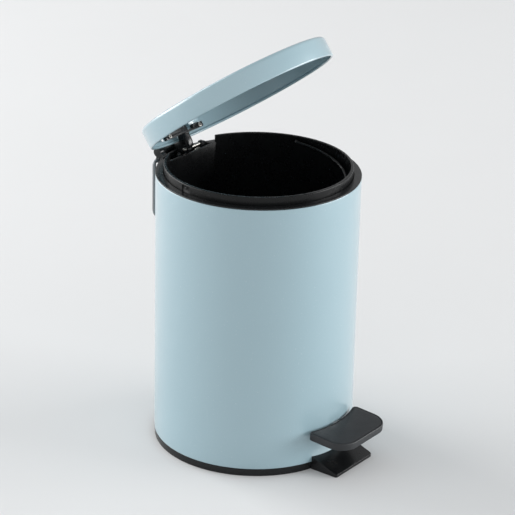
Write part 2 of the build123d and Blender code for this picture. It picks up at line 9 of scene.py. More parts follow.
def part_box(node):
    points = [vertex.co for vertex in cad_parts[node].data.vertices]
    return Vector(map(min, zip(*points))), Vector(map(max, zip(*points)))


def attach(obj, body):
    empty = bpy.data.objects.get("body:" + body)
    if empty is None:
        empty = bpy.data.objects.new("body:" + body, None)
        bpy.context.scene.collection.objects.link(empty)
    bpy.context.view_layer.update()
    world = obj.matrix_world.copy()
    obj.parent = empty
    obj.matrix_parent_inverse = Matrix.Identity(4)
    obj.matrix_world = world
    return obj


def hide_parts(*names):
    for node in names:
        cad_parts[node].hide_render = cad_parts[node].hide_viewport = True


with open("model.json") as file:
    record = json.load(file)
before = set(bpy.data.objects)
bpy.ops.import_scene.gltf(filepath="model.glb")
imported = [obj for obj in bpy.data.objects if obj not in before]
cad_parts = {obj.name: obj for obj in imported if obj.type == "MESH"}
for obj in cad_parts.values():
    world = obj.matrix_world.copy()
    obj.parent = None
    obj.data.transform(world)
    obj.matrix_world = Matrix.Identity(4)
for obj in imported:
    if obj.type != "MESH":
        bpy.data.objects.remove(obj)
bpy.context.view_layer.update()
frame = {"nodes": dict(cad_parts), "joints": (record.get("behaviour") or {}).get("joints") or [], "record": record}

# Lengths in this script are in millimetres and turn into metres when a mesh is written.
# Places come from the frame, and the section sizes that a box can't give are named in each function.
MM = 0.001
TURN = 2 * math.pi
LATHE_STEPS = 288
ARC_STEP = math.radians(12)
ON_AXIS = 1e-6
BEYOND = 90  # how far a cutting piece reaches past the bin to each side


# ---- reading the frame ----
def span(node):
    """A node's lowest and highest corner at rest, in millimetres."""
    low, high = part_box(node)
    return low / MM, high / MM


def joint(name):
    """The frame's row for a joint."""
    return next(j for j in frame["joints"] if j["name"] == name)


def swing_from_limit(name):
    """The turn that takes a piece drawn at a joint's low limit to its rest place."""
    hinge = joint(name)
    pivot = Matrix.Translation(hinge["pos_m"])
    turn = Matrix.Rotation(-math.radians(hinge["range_deg"][0]), 4, Vector(hinge["axis"]))
    return pivot @ turn @ pivot.inverted()


def closed_span(node, swing):
    """A node's lowest and highest corner once the swing is undone, in millimetres."""
    undo = swing.inverted()
    points = [undo @ v.co / MM for v in frame["nodes"][node].data.vertices]
    low = Vector([min(p[i] for p in points) for i in range(3)])
    high = Vector([max(p[i] for p in points) for i in range(3)])
    return low, high


# ---- mesh building ----
def rounded(corners, closed=True):
    """A 2D outline from (a, b, fillet radius) corners, with each fillet as an arc of short steps."""
    outline = []
    count = len(corners)
    for i, (a, b, radius) in enumerate(corners):
        here = Vector((a, b))
        if radius <= 0 or (not closed and i in (0, count - 1)):
            outline.append(here)
            continue
        before = (Vector(corners[i - 1][:2]) - here).normalized()
        after = (Vector(corners[(i + 1) % count][:2]) - here).normalized()
        half = before.angle(after) / 2
        reach = radius / math.tan(half)
        centre = here + (before + after).normalized() * (radius / math.sin(half))
        start = here + before * reach - centre
        sweep = math.pi - 2 * half
        if before.x * after.y - before.y * after.x > 0:
            sweep = -sweep
        steps = max(2, math.ceil(abs(sweep) / ARC_STEP))
        for k in range(steps + 1):
            outline.append(centre + Matrix.Rotation(sweep * k / steps, 2) @ start)
    return [(p.x, p.y) for p in outline]


def new_mesh_object(name, bm):
    """Writes a millimetre bmesh as a smooth-shaded mesh object in metres."""
    bmesh.ops.recalc_face_normals(bm, faces=bm.faces)
    bmesh.ops.scale(bm, vec=(MM, MM, MM), verts=bm.verts)
    mesh = bpy.data.meshes.new(name)
    bm.to_mesh(mesh)
    bm.free()
    piece = bpy.data.objects.new(name, mesh)
    bpy.context.scene.collection.objects.link(piece)
    return piece


def shade(piece, sharp=35):
    """Smooth shading that keeps the edges over this many degrees sharp."""
    piece.data.shade_smooth()
    piece.data.set_sharp_from_angle(angle=math.radians(sharp))
    return piece


def ring_of(bm, outline, angle, dent):
    """One turned copy of an outline. A point on the axis is left out."""
    ring = []
    for r, z in outline:
        if r < ON_AXIS:
            ring.append(None)
        else:
            radius = r + dent(angle, r, z)
            ring.append(bm.verts.new((radius * math.cos(angle), radius * math.sin(angle), z)))
    return ring


def lathe(name, outline, closed=True, dent=lambda angle, r, z: 0.0, angles=None):
    """An (r, z) outline turned about Z. An open outline starts and ends on the axis."""
    bm = bmesh.new()
    angles = angles or [TURN * k / LATHE_STEPS for k in range(LATHE_STEPS)]
    rings = [ring_of(bm, outline, angle, dent) for angle in angles]
    poles = [bm.verts.new((0, 0, z)) if r < ON_AXIS else None for r, z in outline]
    last = len(outline) if closed else len(outline) - 1
    for k, ring in enumerate(rings):
        following = rings[(k + 1) % len(rings)]
        for i in range(last):
            j = (i + 1) % len(outline)
            corners = [ring[i] or poles[i], ring[j] or poles[j],
                       following[j] or poles[j], following[i] or poles[i]]
            bm.faces.new(list(dict.fromkeys(corners)))
    return new_mesh_object(name, bm)


def prism(name, outline, low, high, axis="X", edge=0.0):
    """A closed 2D outline pushed along an axis, with its end edges bevelled."""
    places = {"X": lambda a, b, d: (d, a, b), "Y": lambda a, b, d: (a, d, b), "Z": lambda a, b, d: (a, b, d)}
    place = places[axis]
    bm = bmesh.new()
    caps = [[bm.verts.new(place(a, b, depth)) for a, b in outline] for depth in (low, high)]
    for cap in caps:
        bm.faces.new(cap)
    for i in range(len(outline)):
        j = (i + 1) % len(outline)
        bm.faces.new([caps[0][i], caps[0][j], caps[1][j], caps[1][i]])
    if edge:
        rims = [e for e in bm.edges if len(set(v in caps[0] for v in e.verts)) == 1]
        bmesh.ops.bevel(bm, geom=rims, offset=edge, segments=3, profile=0.5, affect="EDGES")
    return new_mesh_object(name, bm)


def block(name, low, high, edge):
    """A box with rounded edges."""
    bm = bmesh.new()
    bmesh.ops.create_cube(bm, size=1)
    low, high = Vector(low), Vector(high)
    bmesh.ops.scale(bm, vec=high - low, verts=bm.verts)
    bmesh.ops.translate(bm, vec=(low + high) / 2, verts=bm.verts)
    if edge:
        bmesh.ops.bevel(bm, geom=bm.edges[:], offset=edge, segments=4, profile=0.5, affect="EDGES")
    return new_mesh_object(name, bm)


def bar(name, start, end, radius, steps=32):
    """A round bar between two points."""
    start, end = Vector(start), Vector(end)
    bm = bmesh.new()
    bmesh.ops.create_cone(bm, cap_ends=True, segments=steps, radius1=radius, radius2=radius,
                          depth=(end - start).length)
    turn = (end - start).to_track_quat("Z", "Y").to_matrix().to_4x4()
    bmesh.ops.transform(bm, matrix=Matrix.Translation((start + end) / 2) @ turn, verts=bm.verts)
    return new_mesh_object(name, bm)


def settle(piece):
    """Applies a piece's modifiers to its mesh."""
    bpy.context.view_layer.update()
    graph = bpy.context.evaluated_depsgraph_get()
    mesh = bpy.data.meshes.new_from_object(piece.evaluated_get(graph))
    piece.modifiers.clear()
    piece.data = mesh
    return piece


def cut(piece, *tools, operation="DIFFERENCE"):
    """Cuts the tools away from a piece, or joins them to it, and removes them."""
    for tool in tools:
        change = piece.modifiers.new("cut", "BOOLEAN")
        change.operation = operation
        change.solver = "EXACT"
        change.object = tool
        settle(piece)
        bpy.data.objects.remove(tool)
    return piece


def soften(piece, width, angle=32, steps=2):
    """Bevels the sharp edges of a piece by a width in millimetres."""
    change = piece.modifiers.new("edges", "BEVEL")
    change.width = width * MM
    change.segments = steps
    change.limit_method = "ANGLE"
    change.angle_limit = math.radians(angle)
    change.use_clamp_overlap = True
    return settle(piece)


def turned_mesh(piece, matrix):
    """Turns a piece's mesh, and leaves the object where it is."""
    piece.data.transform(matrix)
    return piece


def bent_path(points):
    """3D path points from (x, y, z, bend radius) corners, with each bend as an arc."""
    path = []
    for i, (x, y, z, radius) in enumerate(points):
        here = Vector((x, y, z))
        if radius <= 0:
            path.append(here)
            continue
        before = (Vector(points[i - 1][:3]) - here).normalized()
        after = (Vector(points[i + 1][:3]) - here).normalized()
        half = before.angle(after) / 2
        centre = here + (before + after).normalized() * (radius / math.sin(half))
        start = here + before * (radius / math.tan(half)) - centre
        axis = start.cross(here - centre).normalized()
        sweep = math.pi - 2 * half
        steps = max(3, math.ceil(sweep / ARC_STEP))
        for k in range(steps + 1):
            path.append(centre + Matrix.Rotation(sweep * k / steps, 3, axis) @ start)
    return path


def wire(name, path, radius, sides=24, end_round=0.35):
    """A round wire along a path, with slightly rounded ends."""
    bm = bmesh.new()
    tangents = []
    for i in range(len(path)):
        ahead = path[min(i + 1, len(path) - 1)] - path[max(i - 1, 0)]
        tangents.append(ahead.normalized())
    side = tangents[0].orthogonal().normalized()
    stations = []
    for point, tangent in zip(path, tangents):
        side = (side - tangent * side.dot(tangent)).normalized()
        stations.append((point, tangent, side.copy(), radius))
    lip = radius * end_round
    first, last = stations[0], stations[-1]
    stations[0] = (first[0] + first[1] * lip, *first[1:])
    stations[-1] = (last[0] - last[1] * lip, *last[1:])
    stations.insert(0, (first[0], first[1], first[2], radius - lip))
    stations.append((last[0], last[1], last[2], radius - lip))
    rings = []
    for point, tangent, across, size in stations:
        up = tangent.cross(across)
        turns = [TURN * k / sides for k in range(sides)]
        rings.append([bm.verts.new(point + (across * math.cos(t) + up * math.sin(t)) * size) for t in turns])
    for one, two in zip(rings, rings[1:]):
        for k in range(sides):
            bm.faces.new([one[k], one[(k + 1) % sides], two[(k + 1) % sides], two[k]])
    bm.faces.new(rings[0])
    bm.faces.new(rings[-1])
    return new_mesh_object(name, bm)


def present(piece, body, slot, node):
    """Gives a finished piece the material of its slot, puts it under its body, and hides the CAD node it stands
    for.
    """
    piece.data.materials.clear()
    piece.data.materials.append(FOR_SLOT[slot])
    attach(piece, body)
    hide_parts(node)


# ---- materials ----
class Graph:
    """A small helper that builds one material's nodes."""

    def __init__(self, name):
        self.material = bpy.data.materials.new(name)
        self.material.use_nodes = True
        self.tree = self.material.node_tree
        self.shader = self.tree.nodes["Principled BSDF"]
        self.place = self.node("ShaderNodeTexCoord").outputs["Object"]

    def node(self, kind, **settings):
        made = self.tree.nodes.new(kind)
        for key, value in settings.items():
            setattr(made, key, value)
        return made

    def link(self, source, target):
        self.tree.links.new(source, target)

    def set(self, **values):
        """Constant shader inputs, named with underscores for spaces."""
        for key, value in values.items():
            self.shader.inputs[key.replace("_", " ")].default_value = value

    def stretched(self, scale):
        mapping = self.node("ShaderNodeMapping")
        mapping.inputs["Scale"].default_value = scale
        self.link(self.place, mapping.inputs["Vector"])
        return mapping.outputs["Vector"]

    def noise(self, scale, detail=3.0, rough=0.55, vector=None):
        made = self.node("ShaderNodeTexNoise")
        made.inputs["Scale"].default_value = scale
        made.inputs["Detail"].default_value = detail
        made.inputs["Roughness"].default_value = rough
        self.link(vector or self.place, made.inputs["Vector"])
        return made.outputs["Fac"]

    def cells(self, scale):
        made = self.node("ShaderNodeTexVoronoi", feature="F1")
        made.inputs["Scale"].default_value = scale
        self.link(self.place, made.inputs["Vector"])
        return made.outputs["Distance"]

    def remap(self, value, low, high, to_low, to_high):
        made = self.node("ShaderNodeMapRange", clamp=True)
        for key, number in (("From Min", low), ("From Max", high), ("To Min", to_low), ("To Max", to_high)):
            made.inputs[key].default_value = number
        self.link(value, made.inputs["Value"])
        return made.outputs["Result"]

    def maths(self, operation, one, two):
        made = self.node("ShaderNodeMath", operation=operation)
        for socket, value in zip(made.inputs, (one, two)):
            if isinstance(value, (int, float)):
                socket.default_value = value
            else:
                self.link(value, socket)
        return made.outputs[0]

    def mix(self, share, one, two):
        """A colour between two, each a tuple or another output."""
        made = self.node("ShaderNodeMix", data_type="RGBA")
        self.link(share, made.inputs["Factor"])
        for socket, value in ((made.inputs[6], one), (made.inputs[7], two)):
            if isinstance(value, tuple):
                socket.default_value = (*value, 1)
            else:
                self.link(value, socket)
        return made.outputs[2]

    def bump(self, height, strength, distance, under=None):
        made = self.node("ShaderNodeBump")
        made.inputs["Strength"].default_value = strength
        made.inputs["Distance"].default_value = distance
        self.link(height, made.inputs["Height"])
        if under is not None:
            self.link(under, made.inputs["Normal"])
        return made.outputs["Normal"]

    def finish(self, colour, rough, normal):
        self.link(colour, self.shader.inputs["Base Color"])
        self.link(rough, self.shader.inputs["Roughness"])
        self.link(normal, self.shader.inputs["Normal"])
        return self.material


def speckle(graph, scale, low, high):
    """Sparse small spots, 1 in a spot and 0 elsewhere."""
    return graph.remap(graph.noise(scale, 1.0), low, high, 0.0, 1.0)


def painted_steel():
    """Satin powder coat in pale blue: orange peel, faint tone drift, fine dust and a few rubs."""
    g = Graph("painted_steel")
    g.set(Metallic=0.0, Coat_Weight=1.0, Coat_Roughness=0.20, Coat_IOR=1.6, IOR=1.5)
    drift = g.noise(9.0, 2.0)
    colour = g.mix(drift, (0.278, 0.402, 0.452), (0.294, 0.420, 0.470))
    dust = g.maths("MULTIPLY", speckle(g, 900.0, 0.70, 0.78), 0.35)
    colour = g.mix(dust, colour, (0.50, 0.58, 0.62))
    rubs = g.noise(60.0, 4.0, 0.7, g.stretched((1.0, 1.0, 0.12)))
    rubs = g.remap(rubs, 0.66, 0.74, 0.0, 0.10)
    colour = g.mix(rubs, colour, (0.44, 0.54, 0.59))
    rough = g.maths("ADD", g.remap(g.noise(35.0, 3.0), 0.3, 0.7, 0.30, 0.37), rubs)
    peel = g.bump(g.noise(650.0, 2.0), 0.10, 0.0004)
    grain = g.bump(g.noise(3200.0, 1.0), 0.05, 0.0001, peel)
    return g.finish(colour, rough, grain)


def moulded_plastic(name, dark, light, rough_low, rough_high, grain, gloss):
    """Moulded plastic: fine grain, tone drift, cloudy roughness and dust in specks."""
    g = Graph(name)
    g.set(IOR=1.49, Specular_IOR_Level=gloss)
    drift = g.noise(25.0, 3.0)
    colour = g.mix(drift, dark, light)
    dust = g.maths("MULTIPLY", speckle(g, 700.0, 0.69, 0.78), 0.25)
    colour = g.mix(dust, colour, tuple(4 * v for v in light))
    rough = g.remap(g.noise(90.0, 4.0, 0.65), 0.3, 0.7, rough_low, rough_high)
    return g.finish(colour, rough, g.bump(g.noise(2600.0, 2.0), grain, 0.0001))


def pedal_plastic():
    """Textured pedal moulding: leather-like cells and lighter scuffs in long streaks."""
    g = Graph("pedal_moulding")
    g.set(IOR=1.49)
    drift = g.noise(40.0, 3.0)
    colour = g.mix(drift, (0.012, 0.014, 0.016), (0.017, 0.019, 0.022))
    scuffs = g.noise(140.0, 5.0, 0.7, g.stretched((0.3, 1.0, 1.0)))
    scuffs = g.remap(scuffs, 0.62, 0.72, 0.0, 0.35)
    colour = g.mix(scuffs, colour, (0.040, 0.044, 0.047))
    rough = g.remap(g.noise(70.0, 3.0), 0.3, 0.7, 0.48, 0.60)
    cells = g.bump(g.cells(1100.0), 0.55, 0.00025)
    grain = g.bump(g.noise(4000.0, 2.0), 0.12, 0.0001, cells)
    return g.finish(colour, rough, grain)


def plated_steel():
    """Zinc plated steel: fine drawn grain, cloudy roughness and a faint warm tint."""
    g = Graph("plated_steel")
    g.set(Metallic=1.0)
    clouds = g.noise(160.0, 4.0, 0.6)
    colour = g.mix(clouds, (0.30, 0.29, 0.27), (0.38, 0.37, 0.35))
    rough = g.remap(g.noise(420.0, 3.0), 0.3, 0.7, 0.24, 0.42)
    grain = g.bump(g.noise(1500.0, 3.0, 0.6, g.stretched((1.0, 1.0, 0.08))), 0.10, 0.0001)
    return g.finish(colour, rough, grain)


def coated_wire():
    """Grey satin coated wire with small wear marks."""
    g = Graph("handle_wire")
    g.set(Metallic=0.6, IOR=1.5)
    clouds = g.noise(120.0, 3.0)
    colour = g.mix(clouds, (0.20, 0.21, 0.22), (0.27, 0.28, 0.29))
    wear = g.remap(g.noise(380.0, 4.0, 0.7), 0.64, 0.72, 0.0, 0.6)
    colour = g.mix(wear, colour, (0.45, 0.45, 0.44))
    rough = g.remap(g.noise(260.0, 3.0), 0.3, 0.7, 0.30, 0.42)
    grain = g.bump(g.noise(1800.0, 2.0), 0.10, 0.0001)
    return g.finish(colour, rough, grain)


def floor_paper():
    """Plain pale studio paper with a very faint mottle."""
    g = Graph("studio_floor")
    g.set(IOR=1.35, Specular_IOR_Level=0.1)
    colour = g.mix(g.noise(6.0, 3.0), (0.700, 0.705, 0.708), (0.715, 0.720, 0.723))
    rough = g.remap(g.noise(40.0, 2.0), 0.3, 0.7, 0.85, 0.95)
    return g.finish(colour, rough, g.bump(g.noise(900.0, 2.0), 0.04, 0.0002))


def black_plastic():
    """Semi-gloss black of the base, the collar and the hinge parts."""
    return moulded_plastic("black_moulding", (0.0050, 0.0055, 0.0060), (0.0075, 0.0082, 0.0090),
                           rough_low=0.20, rough_high=0.30, grain=0.10, gloss=0.34)


def liner_plastic():
    """Deeper, smoother black of the liner and its bail."""
    return moulded_plastic("liner_moulding", (0.0030, 0.0033, 0.0036), (0.0042, 0.0046, 0.0050),
                           rough_low=0.24, rough_high=0.32, grain=0.04, gloss=0.28)


FOR_SLOT = {
    "painted_steel": painted_steel(),
    "black_moulding": black_plastic(),
    "liner_moulding": liner_plastic(),
    "pedal_moulding": pedal_plastic(),
    "plated_steel": plated_steel(),
    "handle_wire": coated_wire(),
}


# ---- body ----
def body_can():
    """Rolled sheet body: hemmed top and bottom edges, back seam, hinge notch and pedal slot."""
    low, high = span("outer_body")
    radius, bottom, top = high.x, low.z, high.z
    sheet, hem, hem_width, hem_step = 0.7, 2.4, 1.6, 0.5
    hem_wall, inner = radius - hem_width, radius - sheet
    outline = rounded([
        (radius, bottom, 0.45), (radius, top, 0.8), (hem_wall, top, 0.75), (hem_wall, top - hem, 0.3),
        (inner, top - hem - hem_step, 0.3), (inner, bottom + hem + hem_step, 0.3),
        (hem_wall, bottom + hem, 0.3), (hem_wall, bottom, 0.45)])
    wall_steps = 12
    wall = [(radius, bottom + (top - bottom) * k / wall_steps) for k in range(1, wall_steps)]
    middle = (bottom + top) / 2
    split = max(i for i, (r, z) in enumerate(outline) if r > radius - ON_AXIS and z < middle) + 1
    outline[split:split] = wall
    back = TURN / 4
    seam_width, seam_depth, edge_fade = 0.9, 0.22, 6.0

    def seam(angle, r, z):
        across = (angle - back) * radius
        fade = min(1.0, (z - bottom) / edge_fade, (top - z) / edge_fade)
        return -seam_depth * max(0.0, fade) * math.exp(-(across / seam_width) ** 2)

    fine_step, fine_count = 0.35 / radius, 8
    fine = [back + k * fine_step for k in range(-fine_count, fine_count + 1)]
    coarse = [TURN * k / LATHE_STEPS for k in range(LATHE_STEPS)]
    gap = fine_step * (fine_count + 1)
    angles = sorted([a for a in coarse if abs(a - back) > gap] + fine)
    can = lathe("body_can", outline, dent=seam, angles=angles)
    notch_half, notch_low, notch_reach = 26.0, 219.5, 22
    slot_half, slot_low, slot_high, slot_reach = 6.9, 20.6, 33.4, 12
    notch = block("notch", (-notch_half, radius - notch_reach, notch_low), (notch_half, BEYOND, top + 10), 1.0)
    slot = block("slot", (-slot_half, -BEYOND, slot_low), (slot_half, slot_reach - radius, slot_high), 1.2)
    cut(can, notch, slot)
    return shade(soften(can, 0.12, angle=50))


def base_foot():
    """Moulded base: foot ring with a shallow groove under it, floor, spigot and the front tab."""
    radius, front = span("base")[1].x, span("base")[0].y
    top = span("outer_body")[0].z
    seat = top - 0.05
    spigot, wall, floor, height = 82.0, 2.4, 3.2, 14.0
    groove_in, groove_out, groove, groove_side = 71.0, 76.0, 1.0, 0.4
    outline = rounded([
        (0, 0, 0), (groove_in, 0, 0), (groove_in + groove_side, groove, 0.2),
        (groove_out - groove_side, groove, 0.2), (groove_out, 0, 0), (radius, 0, 0.6),
        (radius, seat, 0.35), (spigot, seat, 0), (spigot, height, 0.5),
        (spigot - wall, height, 0.5), (spigot - wall, floor, 0.6), (0, floor, 0)], closed=False)
    foot = lathe("base_foot", outline, closed=False)
    gap_half, gap_front, gap_back = 24, 70, 82.3
    cut(foot, block("gap", (-gap_half, gap_front, floor + 0.01), (gap_half, gap_back, height + 2), 0))
    cut(foot, front_tab(front, top), operation="UNION")
    return shade(foot)


def front_tab(front, top):
    """The base's flat tab under the pedal, which slopes from the body down to a thin nose."""
    half, heel, nose, back, corner = 25.5, 11.6, 2.5, -80.0, 2.0
    root, body_radius = back + 6, 84.0
    plan = rounded([(-half, root, 0), (-half, front, corner), (half, front, corner), (half, root, 0)])
    tab = prism("tab", plan, 0.0, heel, axis="Z")
    ahead, overhead = 5, 60
    drop = ahead * (heel - nose) / (back - front)
    tip = front - ahead
    slope_side = [(tip, nose - drop), (back, heel), (back, overhead), (tip, overhead)]
    slope = prism("slope", slope_side, -BEYOND, BEYOND)
    above = bar("above", (0, 0, top), (0, 0, overhead), body_radius, steps=LATHE_STEPS)
    cut(tab, slope, above)
    return soften(tab, 0.45, angle=40, steps=3)


def pivot_posts():
    """The two uprights of the pedal pivot, each with a gusset, seen only from inside."""
    pivot = Vector(joint("pedal_pivot")["pos_m"]) / MM
    y, z = pivot.y, pivot.z
    pin_low, pin_high = span("pivot_pin")
    bore = (pin_high.z - pin_low.z) / 2 + 0.02
    inner, outer, half, root = 8.0, 13.0, 6, 3.0
    gusset_in, gusset_out, gusset_half, gusset_drop = 12.8, 22, 1.2, 8
    arc_steps = 16
    head = [math.pi * k / arc_steps for k in range(1, arc_steps)]
    outline = [(y - half, root), (y + half, root), (y + half, z)]
    outline += [(y + half * math.cos(t), z + half * math.sin(t)) for t in head]
    outline += [(y - half, z)]
    posts = None
    for side in (-1, 1):
        low, high = sorted((side * inner, side * outer))
        upright = prism("pivot_posts", outline, low, high, edge=0.3)
        corners = [(side * gusset_in, root), (side * gusset_out, root), (side * gusset_in, z - gusset_drop)]
        cut(upright, prism("gusset", corners, y - gusset_half, y + gusset_half, axis="Y"), operation="UNION")
        cut(upright, bar("bore", (low - 1, y, z), (high + 1, y, z), bore))
        posts = cut(posts, upright, operation="UNION") if posts else upright
    posts.name = "pivot_posts"
    return shade(posts)


def collar_ring():
    """Moulded collar: skirt inside the body, rounded flange on its edge and the liner's ledge."""
    low, high = span("collar")
    flange, flange_top = high.x, high.z
    body_top = span("outer_body")[1].z
    skirt = span("outer_body")[1].x - 2.0
    skirt_in = skirt - 2.6
    flange_bore, ledge_bore = 77.6, 76.3
    ledge_top, ledge_bottom = flange_top - 2.0, flange_top - 3.9
    seat = body_top + 0.02
    outline = rounded([
        (skirt_in, low.z, 0.4), (skirt, low.z, 0.4), (skirt, seat, 0), (flange, seat, 0.35),
        (flange, flange_top, 0.65), (flange_bore, flange_top, 0.4),
        (flange_bore, ledge_top, 0.2), (ledge_bore, ledge_top, 0.3), (ledge_bore, ledge_bottom, 0.4),
        (skirt_in, ledge_bottom, 0.4)])
    ring = lathe("collar_ring", outline)
    half_gap, gap_front = 27.3, 40
    cut(ring, block("gap", (-half_gap, gap_front, low.z - 10), (half_gap, BEYOND, flange_top + 10), 0))
    return shade(soften(ring, 0.3, angle=50))


# ---- liner ----
def liner_bucket():
    """Moulded bucket: tapered wall, flat back, upright neck with two pockets for the bail's ends."""
    low, high = span("liner")
    bottom, top, neck, flat = low.z, high.z, high.x, high.y
    ledge = span("collar")[1].z - 2.0
    wall, floor, foot_radius, shoulder, mouth, flat_top = 1.6, 1.8, 69.5, 76.0, 75.0, 236.3
    seat, over = ledge + 0.02, top + 5
    outside = lathe("liner_bucket", rounded([
        (0, bottom, 0), (foot_radius, bottom, 3.0), (shoulder, seat, 0), (neck, seat, 0.2),
        (neck, top, 0.7), (0, top, 0)], closed=False), closed=False)
    floor_z, floor_radius = bottom + floor, foot_radius - wall
    slope = (mouth - floor_radius) / (top - floor_z)
    # Rings along the straight wall keep its shading even where the mouth's edge is rounded.
    ring_depths = (150, 80, 40, 18, 8, 3.5, 1.2)
    wall_rings = [(mouth - slope * below, top - below, 0) for below in ring_depths]
    inside = lathe("inside", rounded(
        [(0, floor_z, 0), (floor_radius, floor_z, 3.5)] + wall_rings
        + [(mouth, top, 0), (mouth, over, 0), (0, over, 0)], closed=False), closed=False)
    behind, above = 120, 300
    cut(outside, block("flat_out", (-BEYOND, flat, 0), (BEYOND, behind, above), 0))
    cut(inside, block("flat_in", (-BEYOND, flat - wall, 0), (BEYOND, behind, above), 0))
    cut(outside, inside)
    rim_end = math.sqrt(mouth ** 2 - (flat - wall) ** 2)
    cut(outside, block("rim_gap", (-rim_end, flat - wall - 0.5, flat_top), (rim_end, behind, above), 0))
    pivot = Vector(joint("bail_swing")["pos_m"]) / MM
    cut(outside, bail_pockets(pivot.y, ledge))
    bore = 1.16
    cut(outside, bar("bores", (-BEYOND, pivot.y, pivot.z), (BEYOND, pivot.y, pivot.z), bore))
    return shade(soften(outside, 0.35, angle=50), 40)


def bail_pockets(y, ledge):
    """What the two shallow pockets take out of the liner's neck, outside their own round floor."""
    half, radius, top, low, corner = 4.5, 76.5, 241.2, ledge + 2.0, 1.5
    plan = rounded([(y - half, low, 0), (y + half, low, 0), (y + half, top, corner), (y - half, top, corner)])
    pockets = prism("pockets", plan, -BEYOND, BEYOND)
    return cut(pockets, bar("core", (0, 0, 200), (0, 0, 280), radius, steps=LATHE_STEPS))


# ---- lid ----
LID_SWING = swing_from_limit("lid_hinge")


def lid_pan():
    """Pressed steel lid: gently crowned top, drawn corner, curled edge and a small hole at the back."""
    low, high = closed_span("lid_shell", LID_SWING)
    radius, rim, top = high.x, low.z, high.z
    sheet, crown, corner, curl = 0.7, 2.0, 2.8, 1.05
    edge_z = top - crown
    reach = radius - corner
    crown_radius = (reach ** 2 + crown ** 2) / (2 * crown)

    def crown_at(r, drop):
        return top - drop - (crown_radius - math.sqrt(crown_radius ** 2 - r ** 2))

    def corner_point(t, size):
        return reach + size * math.cos(t), edge_z - corner + size * math.sin(t)

    crown_rings, corner_steps, curl_steps, curl_turn = 24, 8, 16, math.pi * 1.45
    rings = [reach * k / crown_rings for k in range(crown_rings)]
    corner_arc = [TURN / 4 * (1 - k / corner_steps) for k in range(corner_steps + 1)]
    curl_arc = [-curl_turn * k / curl_steps for k in range(curl_steps + 1)]
    middle = radius - curl
    outside = [(r, crown_at(r, 0)) for r in rings]
    outside += [corner_point(t, corner) for t in corner_arc]
    outside += [(middle + curl * math.cos(t), rim + curl + curl * math.sin(t)) for t in curl_arc]
    inside = [(radius - sheet, rim + 2 * curl + 0.5)]
    inside += [corner_point(t, corner - sheet) for t in reversed(corner_arc)]
    inside += [(r, crown_at(r, sheet)) for r in reversed(rings)]
    pan = lathe("lid_pan", outside + inside, closed=False)
    hole_x, hole_z, hole_radius, hole_front = -18.4, rim + 6.4, 1.75, 60
    cut(pan, bar("hole", (hole_x, hole_front, hole_z), (hole_x, BEYOND, hole_z), hole_radius))
    return turned_mesh(shade(pan), LID_SWING)


# ---- pedal ----
def pad_plan(half, front, rear, inset):
    """The pad's outline drawn in by an inset: round front corners, small rear corners, hollow rear edge."""
    side, hollow = half - inset, rear + inset
    corner, rear_corner, arc_steps = 16.5, 3.5, 12
    reach = math.asin(side / hollow)
    angles = [reach - 2 * reach * k / arc_steps for k in range(arc_steps + 1)]
    arc = [(hollow * math.sin(t), -hollow * math.cos(t), 0) for t in angles]
    arc[0] = (*arc[0][:2], rear_corner - inset)
    arc[-1] = (*arc[-1][:2], rear_corner - inset)
    return rounded([(-side, front + inset, corner - inset), (side, front + inset, corner - inset), *arc])


def pedal_tread():
    """Pedal pad: stepped rim round a slightly crowned tread, hollow underside with ribs and a screw boss."""
    half, rear, front = span("pedal_pad")[1].x, 86.6, -118.2
    tilt, top_z, height = math.radians(3.5), 36.2, 6.0
    # (inset, height) of each ring, from the lower edge up over the rim and its groove to the tread
    layers = [(0.25, -height), (0.0, -height + 0.25), (0.0, -0.80), (0.10, -0.42), (0.35, -0.14), (0.75, -0.05),
              (1.05, -0.12), (1.15, -0.60), (1.65, -0.60), (1.75, -0.10), (2.1, 0.0)]
    bm = bmesh.new()
    rings = [[bm.verts.new((x, y, z)) for x, y in pad_plan(half, front, rear, inset)] for inset, z in layers]
    for one, two in zip(rings, rings[1:]):
        for k in range(len(one)):
            following = (k + 1) % len(one)
            bm.faces.new([one[k], one[following], two[following], two[k]])
    bm.faces.new(rings[0])
    bm.faces.new(rings[-1])
    tread = new_mesh_object("pedal_tread", bm)
    hollow_out(tread, half, front, rear, height)
    edge = Vector((0, -rear, 0)) * MM
    turn = Matrix.Translation(edge) @ Matrix.Rotation(tilt, 4, "X") @ Matrix.Translation(-edge)
    lift = Matrix.Translation((0, 0, top_z * MM))
    return turned_mesh(shade(tread), lift @ turn)


def hollow_out(tread, half, front, rear, height):
    """The pad's underside: hollow, way for the strap, screw boss, two ribs and two screw holes."""
    skirt, skin, under = 2.4, 3.0, -height - 1
    rooted = -skin + 0.2
    strap_half, strap_from, strap_to, strap_top = 6.4, -rear - 6, -80, -4.32
    boss_half, boss_front, boss_back = 6, -113, -97
    rib_places, rib_half, rib_front, rib_back = (-20, 20), 0.8, -112, -90
    screw_places, screw_depth, screw_radius = (-101, -109), -1.2, 1.52
    cut(tread, prism("hollow", pad_plan(half, front, rear, skirt), under, -skin, axis="Z"))
    cut(tread, block("strap_way", (-strap_half, strap_from, under), (strap_half, strap_to, -skin), 0))
    boss = block("boss", (-boss_half, boss_front, strap_top), (boss_half, boss_back, rooted), 0)
    ribs = [block("rib", (x - rib_half, rib_front, -height + 1), (x + rib_half, rib_back, rooted), 0)
            for x in rib_places]
    cut(tread, boss, *ribs, operation="UNION")
    cut(tread, *[bar("screw_hole", (0, y, -height), (0, y, screw_depth), screw_radius) for y in screw_places])


